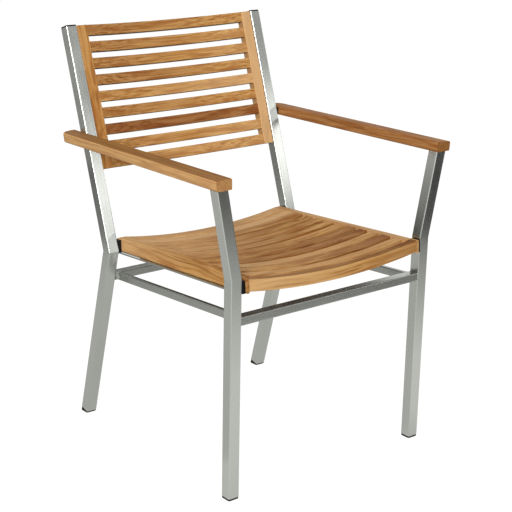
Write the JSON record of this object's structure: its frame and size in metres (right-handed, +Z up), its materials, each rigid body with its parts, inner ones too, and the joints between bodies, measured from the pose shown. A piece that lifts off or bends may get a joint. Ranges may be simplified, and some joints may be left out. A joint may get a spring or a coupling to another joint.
{
  "type": "carver chair",
  "caption": "Outdoor carver armchair: square-tube stainless steel frame with a dished slatted teak seat, a bowed slatted teak back and flat teak armrests.",
  "frame": {"origin": "on the floor under the middle of the chair's bounding box", "axes": "+Z up; -Y is the front, the way the sitter faces; +X is to the right of a viewer who stands in front of the chair"},
  "size_m": [0.5916, 0.6232, 0.8703],
  "materials": {
    "stainless_steel": "satin",
    "teak": "oiled, satin",
    "black_plastic": "matt",
    "fasteners": "plain"
  },
  "bodies": {
    "root": {"arm_fasteners": "fasteners", "arm_left": "teak", "arm_plate_left": "stainless_steel", "arm_plate_right": "stainless_steel", "arm_post_left": "stainless_steel", "arm_post_right": "stainless_steel", "arm_right": "teak", "arm_spacer_left": "black_plastic", "arm_spacer_right": "black_plastic", "back_bottom_rail": "teak", "back_post_left": "stainless_steel", "back_post_right": "stainless_steel", "back_screws": "fasteners", "back_slat_1": "teak", "back_slat_2": "teak", "back_slat_3": "teak", "back_slat_4": "teak", "back_slat_5": "teak", "back_slat_6": "teak", "back_slat_7": "teak", "back_stile_left": "teak", "back_stile_right": "teak", "back_tabs": "stainless_steel", "back_top_rail": "teak", "front_foot_left": "black_plastic", "front_foot_right": "black_plastic", "front_leg_left": "stainless_steel", "front_leg_right": "stainless_steel", "front_rail": "stainless_steel", "post_cap_left": "black_plastic", "post_cap_right": "black_plastic", "rear_foot_left": "black_plastic", "rear_foot_right": "black_plastic", "rear_leg_left": "stainless_steel", "rear_leg_right": "stainless_steel", "rear_rail": "stainless_steel", "seat_back_rail": "teak", "seat_bearer_left": "stainless_steel", "seat_bearer_right": "stainless_steel", "seat_front_rail": "teak", "seat_pad_front_left": "black_plastic", "seat_pad_front_right": "black_plastic", "seat_pad_rear_left": "black_plastic", "seat_pad_rear_right": "black_plastic", "seat_screws": "fasteners", "seat_side_rail_left": "teak", "seat_side_rail_right": "teak", "seat_slat_1": "teak", "seat_slat_10": "teak", "seat_slat_11": "teak", "seat_slat_2": "teak", "seat_slat_3": "teak", "seat_slat_4": "teak", "seat_slat_5": "teak", "seat_slat_6": "teak", "seat_slat_7": "teak", "seat_slat_8": "teak", "seat_slat_9": "teak", "side_rail_left": "stainless_steel", "side_rail_right": "stainless_steel"}
  },
  "joints": []
}
